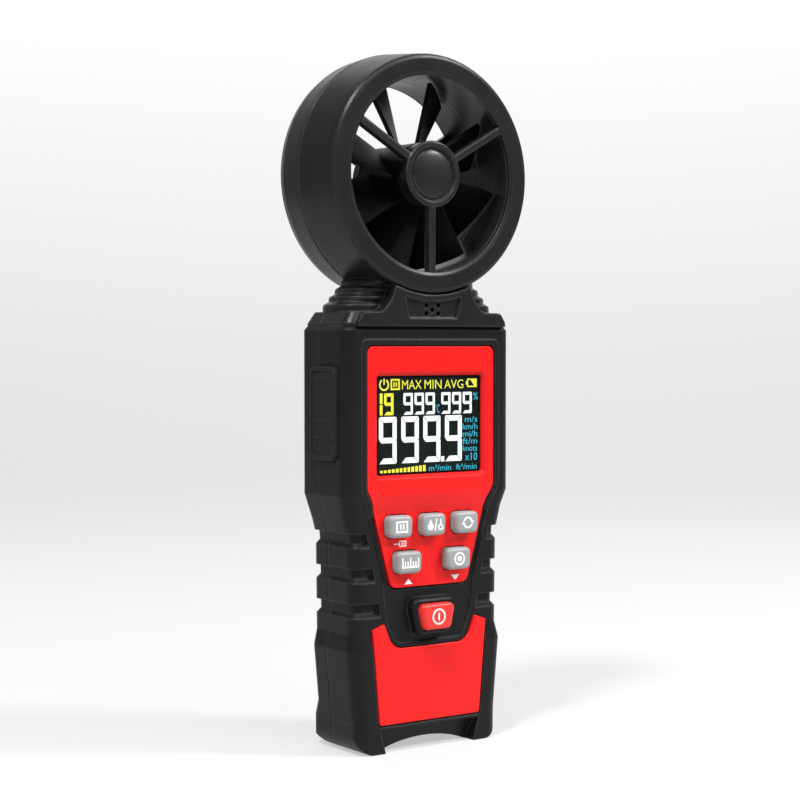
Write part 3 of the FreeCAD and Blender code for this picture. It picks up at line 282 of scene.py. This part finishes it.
def silicone(name, colour, roughness):
    """Soft key rubber: very fine tooth and a faint sheen."""
    recipe = Recipe(name)
    rounded = recipe.soft_edge(0.00025)
    cloud = recipe.mottle(0.0, 1.0, 160.0, 4.0)
    recipe.drive(Base_Color=recipe.blend(cloud, tinted(colour, 0.9), colour),
                 Roughness=recipe.mottle(roughness - 0.05, roughness + 0.08, 220.0, 4.0),
                 Normal=recipe.bump(recipe.noise(3800.0, 1.0), 0.00001, rounded))
    recipe.set(Sheen_Weight=0.15, Sheen_Roughness=0.5)
    return recipe.material


def metal(name, colour, roughness, stretch=(1.0, 1.0, 1.0)):
    """Plated or turned metal with fine tool marks."""
    recipe = Recipe(name)
    mapping = recipe.node("ShaderNodeMapping")
    mapping.inputs["Scale"].default_value = stretch
    recipe.join(recipe.place, mapping.inputs["Vector"])
    recipe.place = mapping.outputs["Vector"]
    marks = recipe.noise(1800.0, 3.0)
    dull = recipe.mottle(0.0, 1.0, 300.0, 4.0)
    recipe.drive(Base_Color=recipe.blend(dull, tinted(colour, 0.8), colour),
                 Roughness=recipe.spread(marks, *NOISE_RANGE, roughness - 0.08, roughness + 0.1),
                 Normal=recipe.bump(marks, 0.000006))
    recipe.set(Metallic=1.0)
    return recipe.material


def printed(name, colour, glow=0.0):
    """Screen ink or lit segment with a faintly uneven density."""
    recipe = Recipe(name)
    density = recipe.mottle(0.0, 1.0, 900.0, 3.0)
    recipe.drive(Base_Color=recipe.blend(density, tinted(colour, 0.9), colour),
                 Roughness=recipe.mottle(0.4, 0.55, 400.0, 2.0))
    recipe.set(Emission_Color=colour + (1,), Emission_Strength=glow)
    return recipe.material


def window_material():
    """Clear window: almost invisible, with sharp reflections and a few faint wipe marks."""
    recipe = Recipe("window_clear")
    recipe.set(Base_Color=(0.01, 0.01, 0.01, 1), Alpha=0.12, IOR=1.49)
    recipe.drive(Roughness=recipe.spread(recipe.noise(60.0, 5.0, 0.7), 0.35, 0.75, 0.03, 0.10))
    return recipe.material


def display_material():
    """Black display glass with a slight colour drift."""
    recipe = Recipe("display_black")
    drift = recipe.mottle(0.0, 1.0, 45.0, 3.0)
    recipe.drive(Base_Color=recipe.blend(drift, (0.004, 0.009, 0.008), (0.008, 0.016, 0.014)),
                 Roughness=recipe.mottle(0.18, 0.3, 300.0, 3.0))
    recipe.set(Specular_IOR_Level=0.12)
    return recipe.material


def board_material():
    """Solder mask over faint copper tracks."""
    recipe = Recipe("board_green")
    tracks = recipe.node("ShaderNodeTexVoronoi", feature="DISTANCE_TO_EDGE", distance="MANHATTAN")
    tracks.inputs["Scale"].default_value = 420.0
    recipe.join(recipe.place, tracks.inputs["Vector"])
    lines = recipe.spread(tracks.outputs["Distance"], 0.03, 0.06, 1.0, 0.0)
    recipe.drive(Base_Color=recipe.blend(lines, (0.01, 0.12, 0.04), (0.03, 0.24, 0.08)),
                 Roughness=recipe.mottle(0.25, 0.4, 500.0),
                 Normal=recipe.bump(lines, 0.00002))
    return recipe.material


def jacket_material():
    """Cell sleeve in two bands, with a soft print texture."""
    recipe = Recipe("cell_jacket")
    split = recipe.node("ShaderNodeSeparateXYZ")
    recipe.join(recipe.place, split.inputs["Vector"])
    band = recipe.spread(split.outputs["Z"], *CELL_BAND, 0.0, 1.0)
    recipe.drive(Base_Color=recipe.blend(band, (0.03, 0.09, 0.3), (0.62, 0.62, 0.6)),
                 Roughness=recipe.mottle(0.25, 0.4, 600.0))
    recipe.set(Metallic=0.35)
    return recipe.material


def dress_nodes():
    """Gives every CAD node the finish of its material slot."""
    finishes = {
        "case_black": moulded("case_black", (0.009, 0.009, 0.0096), 0.38, edge=0.0007),
        "head_black": moulded("head_black", (0.010, 0.010, 0.0107), 0.32, edge=0.0008, ior=1.3),
        "guard_black": moulded("guard_black", (0.010, 0.010, 0.0107), 0.32, edge=0.0008, ior=1.35),
        "impeller_black": moulded("impeller_black", (0.004, 0.004, 0.0045), 0.42, wear_and_highlight=0.1, specular=0.3),
        "panel_red": moulded("panel_red", (0.80, 0.007, 0.007), 0.34, grain=3200.0, grain_depth=0.000006,
                             edge=0.0003, wear_and_highlight=0.0, specular=0.3, ior=1.45),
        "key_grey": silicone("key_grey", (0.30, 0.312, 0.312), 0.42),
        "key_red": silicone("key_red", (0.80, 0.012, 0.008), 0.38),
        "pad_rubber": moulded("pad_rubber", (0.015, 0.015, 0.016), 0.62, grain=3000.0, grain_depth=0.00002,
                              edge=0.0003, wear_and_highlight=0.4),
        "window_clear": window_material(),
        "display_black": display_material(),
        "white_plastic": printed("white_plastic", (0.8, 0.82, 0.82)),
        "board_green": board_material(),
        "component_black": moulded("component_black", (0.02, 0.02, 0.02), 0.4),
        "steel": metal("steel", (0.56, 0.56, 0.57), 0.32, (1.0, 1.0, 6.0)),
        "magnet_grey": metal("magnet_grey", (0.2, 0.2, 0.21), 0.5),
        "thread_brass": metal("thread_brass", (0.78, 0.56, 0.24), 0.28, (1.0, 8.0, 1.0)),
        "tray_black": moulded("tray_black", (0.02, 0.02, 0.021), 0.5),
        "cell_jacket": jacket_material(),
        "ribbon_amber": printed("ribbon_amber", (0.5, 0.25, 0.05)),
    }
    slots = {part["node"]: part["material_slot"] for part in frame["record"]["subparts"]}
    for name, node in NODES.items():
        node.data.materials.clear()
        node.data.materials.append(finishes[slots[name]])


# ---------------------------------------------------------------- outlines, in millimetres as (x, z)
BAR_GAP = 0.09  # between two bars of a digit, as a share of a bar's width


def bar_outline(x0, z0, x1, z1):
    return [(x0, z0), (x1, z0), (x1, z1), (x0, z1)]


def frame_outlines(x0, z0, x1, z1, line):
    """Four bars round a box."""
    return [bar_outline(x0, z0, x1, z0 + line), bar_outline(x0, z1 - line, x1, z1),
            bar_outline(x0, z0 + line, x0 + line, z1 - line), bar_outline(x1 - line, z0 + line, x1, z1 - line)]


def circle_outline(radius, steps=24):
    return [(radius * math.cos(2 * math.pi * i / steps), radius * math.sin(2 * math.pi * i / steps))
            for i in range(steps)]


def ring_outlines(outer, inner, start=0, stop=360, steps=28, x=0.0, z=0.0):
    """Arc of a ring round (x, z) as short four-sided pieces; angles in degrees."""
    shapes = []
    for i in range(steps):
        a0, a1 = (math.radians(start + (stop - start) * (i + side) / steps) for side in (0, 1))
        corners = ((outer, a0), (outer, a1), (inner, a1), (inner, a0))
        shapes.append([(x + radius * math.cos(angle), z + radius * math.sin(angle))
                       for radius, angle in corners])
    return shapes


def nine_outlines(width, height, bar):
    """The lit bars of a seven-bar nine: top, upper right, lower right, bottom, upper left and middle."""
    gap = bar * BAR_GAP
    half = bar / 2
    middle = height / 2
    inner_left, inner_right = bar - gap, width - bar + gap
    return [
        [(gap, height), (width - gap, height), (width - bar, height - bar), (bar, height - bar)],
        [(width, height - gap), (width, middle + gap), (inner_right, middle + half + gap),
         (inner_right, height - bar - gap)],
        [(width, gap), (inner_right, bar + gap), (inner_right, middle - half - gap), (width, middle - gap)],
        [(bar, bar), (width - bar, bar), (width - gap, 0.0), (gap, 0.0)],
        [(0.0, height - gap), (inner_left, height - bar - gap), (inner_left, middle + half + gap),
         (0.0, middle + gap)],
        [(gap, middle), (half + gap, middle + half), (width - half - gap, middle + half),
         (width - gap, middle), (width - half - gap, middle - half), (half + gap, middle - half)],
    ]


def placed(shapes, spot):
    """Outlines in millimetres, moved to a place in metres."""
    x, z = spot
    return [[(x + u * MM, z + v * MM) for u, v in outline] for outline in shapes]


# ---------------------------------------------------------------- pieces
PRINT_THICKNESS = 0.03 * MM
LETTER_STEPS = 3


def add_piece(name, mesh, body, material):
    """Printed piece that rides on a body."""
    piece = bpy.data.objects.new(name, mesh)
    bpy.context.scene.collection.objects.link(piece)
    mesh.materials.append(material)
    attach(piece, body)


def flat_shapes(name, outlines, y, thickness, body, material):
    """One mesh of flat printed shapes facing -Y; each outline is a closed list of (x, z) in metres."""
    made = bmesh.new()
    for outline in outlines:
        front = [made.verts.new((x, y, z)) for x, z in outline]
        back = [made.verts.new((x, y + thickness, z)) for x, z in outline]
        made.faces.new(front)
        made.faces.new(back[::-1])
        for i in range(len(outline)):
            j = (i + 1) % len(outline)
            made.faces.new((front[i], back[i], back[j], front[j]))
    bmesh.ops.recalc_face_normals(made, faces=made.faces)
    mesh = bpy.data.meshes.new(name)
    made.to_mesh(mesh)
    made.free()
    add_piece(name, mesh, body, material)


def lettering(name, text, spot, width, height, y, material):
    """Plain lettering stretched to fill a box in millimetres, facing -Y."""
    curve = bpy.data.curves.new("lettering", "FONT")
    curve.body = text
    curve.extrude = 0.0
    curve.resolution_u = LETTER_STEPS
    holder = bpy.data.objects.new("lettering", curve)
    bpy.context.scene.collection.objects.link(holder)
    bpy.context.view_layer.update()
    mesh = bpy.data.meshes.new_from_object(holder.evaluated_get(bpy.context.evaluated_depsgraph_get()))
    bpy.data.objects.remove(holder)
    bpy.data.curves.remove(curve)
    xs = [v.co.x for v in mesh.vertices]
    ys = [v.co.y for v in mesh.vertices]
    for v in mesh.vertices:
        across = (v.co.x - min(xs)) / (max(xs) - min(xs))
        up = (v.co.y - min(ys)) / (max(ys) - min(ys))
        v.co = Vector((spot[0] + across * width * MM, y, spot[1] + up * height * MM))
    add_piece(name, mesh, HOUSING, material)


# ---------------------------------------------------------------- display
DISPLAY_MARGIN = 1.5 * MM
DISPLAY_PROUD = 0.06 * MM

# In millimetres from here on, measured from the artwork's top left corner.
# Digits: how many, left, bottom, width, height, bar width and step.
DIGIT_ROWS = (
    (4, 0.9, 25.3, 6.2, 13.5, 1.6, 7.85),
    (3, 9.5, 11.3, 3.35, 6.3, 0.85, 3.95),
    (3, 23.1, 11.3, 3.35, 6.3, 0.85, 3.95),
)
YELLOW_DIGIT = (1, 2.7, 11.3, 3.3, 6.3, 0.95, 4.0)
UNITS = (("m/s", 4.6), ("km/h", 5.4), ("mi/h", 5.4), ("ft/m", 5.4), ("knots", 5.4))
UNIT_RIGHT, UNIT_TOP, UNIT_STEP, UNIT_HEIGHT = 36.4, 12.2, 2.15, 1.75
BAR_COUNT, BARS_LEFT, BARS_BOTTOM = 12, 1.3, 27.9
BAR_STEP, BAR_WIDTH, FIRST_BAR_HEIGHT, BAR_GROWTH = 1.38, 0.95, 0.7, 0.1


def display_artwork():
    """Lit digits, unit signs and status marks behind the window."""
    white = printed("segment_white", (0.9, 0.92, 0.92), 0.75)
    yellow = printed("segment_yellow", (0.85, 0.83, 0.05), 0.6)
    cyan = printed("segment_cyan", (0.03, 0.48, 0.66), 0.6)
    left = low("display_window").x + DISPLAY_MARGIN
    top = high("display_window").z - DISPLAY_MARGIN
    y = low("display_glass").y - DISPLAY_PROUD

    def at(x, down):
        """Place of a point measured from the artwork's top left corner."""
        return left + x * MM, top - down * MM

    def digits(count, x, bottom, width, height, bar, step):
        shapes = []
        for index in range(count):
            shapes += placed(nine_outlines(width, height, bar), at(x + index * step, bottom))
        return shapes

    def layer(name, shapes, material):
        flat_shapes(name, shapes, y, PRINT_THICKNESS, HOUSING, material)

    big, small_left, small_right = (digits(*row) for row in DIGIT_ROWS)
    point = placed([bar_outline(0.0, 0.0, 1.15, 1.5)], at(23.05, 25.3))
    layer("display_digits", big + point + small_left + small_right, white)

    one = [bar_outline(0.0, 0.0, 0.95, 3.0), bar_outline(0.0, 3.3, 0.95, 6.3)]
    power = ring_outlines(1.75, 1.25, 120, 420) + [bar_outline(-0.22, 0.0, 0.22, 1.8)]
    hold = frame_outlines(0.0, 0.0, 3.2, 3.2, 0.5)
    hold += [bar_outline(1.0, 0.9, 1.4, 2.3), bar_outline(1.8, 0.9, 2.2, 2.3)]
    battery = frame_outlines(0.0, 0.0, 3.6, 2.5, 0.4) + [bar_outline(-0.45, 0.7, 0.0, 1.8)]
    battery.append([(1.4, 2.1), (2.6, 0.4), (3.2, 0.4), (3.2, 2.1)])
    marks = digits(*YELLOW_DIGIT)
    for shapes, x, bottom in ((one, 1.2, 11.3), (power, 2.7, 2.55), (hold, 5.0, 4.1), (battery, 32.6, 3.6)):
        marks += placed(shapes, at(x, bottom))
    layer("display_marks", marks, yellow)

    # Name, text, left, top, width, height and ink.
    signs = [
        ("display_sign_max", "MAX", 9.0, 1.3, 7.0, 2.6, yellow),
        ("display_sign_min", "MIN", 17.0, 1.3, 6.2, 2.6, yellow),
        ("display_sign_avg", "AVG", 24.2, 1.3, 7.0, 2.6, yellow),
        ("display_sign_percent", "%", 34.9, 5.2, 1.7, 2.2, cyan),
        ("display_sign_celsius", "°C", 20.9, 8.4, 1.6, 2.6, cyan),
    ]
    for index, (unit, width) in enumerate(UNITS):
        signs.append(("display_unit_%d" % (index + 1), unit, UNIT_RIGHT - width, UNIT_TOP + index * UNIT_STEP,
                      width, UNIT_HEIGHT, cyan))
    signs.append(("display_times_ten", "x10", 31.9, 23.0, 4.5, 2.3, cyan))
    signs.append(("display_volume_units", "m³/min  ft³/min", 18.6, 26.2, 17.6, 1.75, cyan))
    for name, text, x, down, width, height, ink in signs:
        lettering(name, text, at(x, down + height), width, height, y, ink)

    bars = []
    for index in range(BAR_COUNT):
        bar = bar_outline(0.0, 0.0, BAR_WIDTH, FIRST_BAR_HEIGHT + BAR_GROWTH * index)
        bars += placed([bar], at(BARS_LEFT + index * BAR_STEP, BARS_BOTTOM))
    layer("display_bars", bars, yellow)


# ---------------------------------------------------------------- signs on the keys and the panel
MARK_PROUD = 0.03 * MM
MARK_THICKNESS = 0.9 * MARK_PROUD
KEY_AREA_MARGIN = 3 * MM
ARROW_DROP = 1.7 * MM
ARROW_HALF_WIDTH, ARROW_HALF_HEIGHT = 1.45, 0.8
SOCKET_SIGN_SHIFT = (3.6 * MM, 1.2 * MM)
TICK_COUNT, TICK_STEP, TICK_HALF_WIDTH, TALL_TICK, SHORT_TICK = 7, 0.92, 0.2, 2.4, 1.4


def dew_point_sign():
    """Drop, slash and thermometer."""
    drop = [(-1.7 + 1.05 * math.sin(a), -0.5 - 1.05 * math.cos(a))
            for a in [math.radians(135 * k / 9) for k in range(-9, 10)]]
    drop.append((-1.7, 1.7))
    slash = [(-0.35, -1.7), (0.1, -1.7), (0.7, 1.7), (0.25, 1.7)]
    bulb = ring_outlines(0.95, 0.5, steps=20, x=1.9, z=-0.75)
    return [drop, slash] + bulb + [bar_outline(1.65, 0.1, 2.15, 1.7)]


def change_sign():
    """Two arrows that chase each other round a ring."""
    arcs = ring_outlines(1.75, 1.2, 20, 160, 14) + ring_outlines(1.75, 1.2, 200, 340, 14)
    return arcs + [[(0.9, 0.5), (2.4, 0.5), (1.65, -0.5)], [(-0.9, -0.5), (-2.4, -0.5), (-1.65, 0.5)]]


def scale_sign():
    """Ruler with seven ticks, every third one tall."""
    shapes = [bar_outline(-3.0, -1.5, 3.0, -1.0)]
    for tick in range(TICK_COUNT):
        tall = TALL_TICK if tick % 3 == 0 else SHORT_TICK
        middle = (tick - TICK_COUNT // 2) * TICK_STEP
        shapes.append(bar_outline(middle - TICK_HALF_WIDTH, -1.0, middle + TICK_HALF_WIDTH, tall - 1.0))
    return shapes


def socket_sign():
    """Small plug that stands for the data socket's label on the panel."""
    return frame_outlines(-0.4, -0.85, 2.2, 0.85, 0.32) + [bar_outline(-2.2, -0.16, -0.4, 0.16),
                                                           bar_outline(0.5, -0.22, 1.5, 0.22)]


def key_marks():
    """White signs printed on the keys and beside them."""
    ink = printed("ink_white", (0.93, 0.94, 0.94))
    pause = [bar_outline(-0.8, -0.8, -0.25, 0.8), bar_outline(0.25, -0.8, 0.8, 0.8)]
    key_signs = {
        "hold": frame_outlines(-2.1, -1.7, 2.1, 1.7, 0.55) + pause,
        "dew_point": dew_point_sign(),
        "function": change_sign(),
        "unit": scale_sign(),
        "record": ring_outlines(1.95, 1.45) + [circle_outline(0.85)],
        "power": ring_outlines(2.35, 1.85, steps=40) + [bar_outline(-0.26, -1.1, 0.26, 1.1)],
    }
    for title, shapes in key_signs.items():
        key = "key_" + title
        spot = (centre(key).x, centre(key).z)
        flat_shapes("mark_" + title, placed(shapes, spot), low(key).y - MARK_PROUD, MARK_THICKNESS, key, ink)

    beside = []
    for key, shift, up in (("key_unit", 1.3, 1), ("key_record", 0.55, -1)):
        rise = ARROW_HALF_HEIGHT * up
        arrow = [(-ARROW_HALF_WIDTH, -rise), (ARROW_HALF_WIDTH, -rise), (0.0, rise)]
        beside += placed([arrow], (centre(key).x + shift * MM, low(key).z - ARROW_DROP))
    right, up = SOCKET_SIGN_SHIFT
    beside += placed(socket_sign(), (low("key_unit").x + right, high("key_unit").z + up))
    flat_shapes("panel_marks", beside, front_surface("upper_panel") - MARK_PROUD, MARK_THICKNESS, HOUSING, ink)


def front_surface(node):
    """Depth of the node's face in the key area, read from the points near its lower edge."""
    limit = low(node).z + KEY_AREA_MARGIN
    return min(v.co.y for v in NODES[node].data.vertices if v.co.z < limit)


# ---------------------------------------------------------------- build
# Name, azimuth and elevation in degrees, distance and size in metres, and power in watts.
LIGHTS = (
    ("main_light", 6, 52, 1.2, (0.8, 0.6), 5.0),
    ("left_light", -62, 58, 1.0, (0.16, 0.16), 9.0),
    ("right_light", 48, 37, 1.0, (0.18, 0.18), 8.0),
)

bpy.context.scene.view_settings.view_transform = "Standard"
set_camera()
set_world()
for light in LIGHTS:
    area_light(*light)
backdrop()
dress_nodes()
display_artwork()
key_marks()
